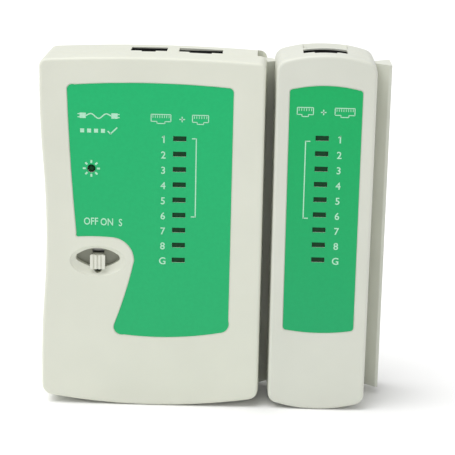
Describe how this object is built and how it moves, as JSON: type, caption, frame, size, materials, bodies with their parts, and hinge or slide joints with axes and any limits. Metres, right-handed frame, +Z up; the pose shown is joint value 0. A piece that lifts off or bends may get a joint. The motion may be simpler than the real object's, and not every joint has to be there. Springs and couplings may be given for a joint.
{
  "type": "network cable tester",
  "caption": "Handheld cable tester in two docked units, with modular sockets, rows of indicator lamps, a slide switch and a sliding battery cover.",
  "frame": {"origin": "centre of the pair's box at the surface it stands on", "axes": "+Z up towards the socket ends, -Y out of the front faces, +X from the main unit to the remote unit"},
  "size_m": [0.0968, 0.026, 0.1019],
  "materials": {
    "shell_plastic": "fine satin",
    "cover_plastic": "fine satin",
    "label_green": "printed satin film",
    "board_green": "solder mask",
    "lamp_lens": "dark tinted",
    "switch_metal": "satin",
    "knob_plastic": "satin",
    "socket_black": "satin",
    "contact_gold": "plated",
    "battery_case": "satin sleeve",
    "stud_metal": "plated",
    "cap_black": "satin",
    "lead_red": "insulation",
    "lead_black": "insulation",
    "chip_black": "moulded",
    "resistor_tan": "lacquered",
    "diode_glass": "glass-like",
    "capacitor_sleeve": "sleeved",
    "screw_steel": "zinc plated"
  },
  "bodies": {
    "main_unit": {"main_front_shell": "shell_plastic", "main_rear_shell": "shell_plastic", "main_label": "label_green", "main_circuit_board": "board_green", "main_lamps": "lamp_lens", "power_lamp": "lamp_lens", "switch_frame": "switch_metal", "main_wide_socket": "socket_black", "main_wide_contacts": "contact_gold", "main_narrow_socket": "socket_black", "main_narrow_contacts": "contact_gold", "battery": "battery_case", "battery_studs": "stud_metal", "battery_snap_cap": "cap_black", "red_lead": "lead_red", "black_lead": "lead_black", "timer_chip": "chip_black", "counter_chip": "chip_black", "main_resistors": "resistor_tan", "main_diodes": "diode_glass", "capacitors": "capacitor_sleeve", "main_case_screws": "screw_steel", "main_board_screws": "screw_steel"},
    "remote_unit": {"remote_front_shell": "shell_plastic", "remote_rear_shell": "shell_plastic", "remote_label": "label_green", "remote_circuit_board": "board_green", "remote_lamps": "lamp_lens", "remote_wide_socket": "socket_black", "remote_wide_contacts": "contact_gold", "remote_narrow_socket": "socket_black", "remote_narrow_contacts": "contact_gold", "remote_diodes": "diode_glass", "remote_case_screws": "screw_steel"},
    "switch_knob": {"switch_knob": "knob_plastic"},
    "battery_cover": {"battery_cover": "cover_plastic"}
  },
  "joints": [
    {"name": "remote_dock_slide", "type": "slide", "parent": "main_unit", "child": "remote_unit", "axis": [0, 0, 1], "range_m": [0, 0.105]},
    {"name": "switch_slide", "type": "slide", "parent": "main_unit", "child": "switch_knob", "axis": [1, 0, 0], "range_m": [-0.002, 0.002]},
    {"name": "battery_cover_slide", "type": "slide", "parent": "main_unit", "child": "battery_cover", "axis": [0, 0, -1], "range_m": [0, 0.036]}
  ]
}
